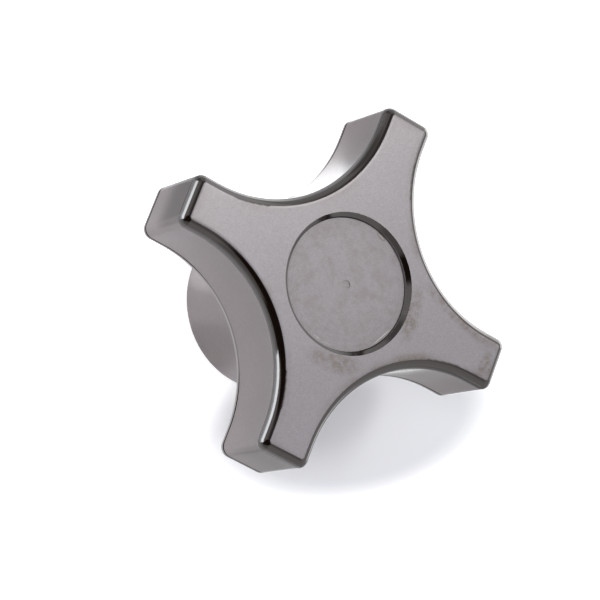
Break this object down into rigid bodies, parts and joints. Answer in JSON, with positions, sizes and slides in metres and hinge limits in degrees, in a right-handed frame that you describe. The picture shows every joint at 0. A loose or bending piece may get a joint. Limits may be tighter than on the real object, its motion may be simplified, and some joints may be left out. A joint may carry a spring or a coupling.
{
  "type": "meat grinder knob",
  "caption": "Moulded clamping knob: a cross with scalloped arms on a stout round hub, with a sunk cover cap in the front and a threaded metal bush in the rear.",
  "frame": {"origin": "centre of the hub's rear face, where the thread's mouth opens", "axes": "+Z along the knob's axis towards its front face, +X and +Y along two neighbouring arms"},
  "size_m": [0.07, 0.07, 0.034],
  "materials": {
    "knob_moulding": "satin dark grey-brown moulding",
    "cap_moulding": "satin dark grey-brown moulding",
    "bush_brass": "turned brass"
  },
  "bodies": {
    "root": {"knob_body": "knob_moulding", "cap": "cap_moulding", "threaded_bush": "bush_brass"}
  },
  "joints": []
}
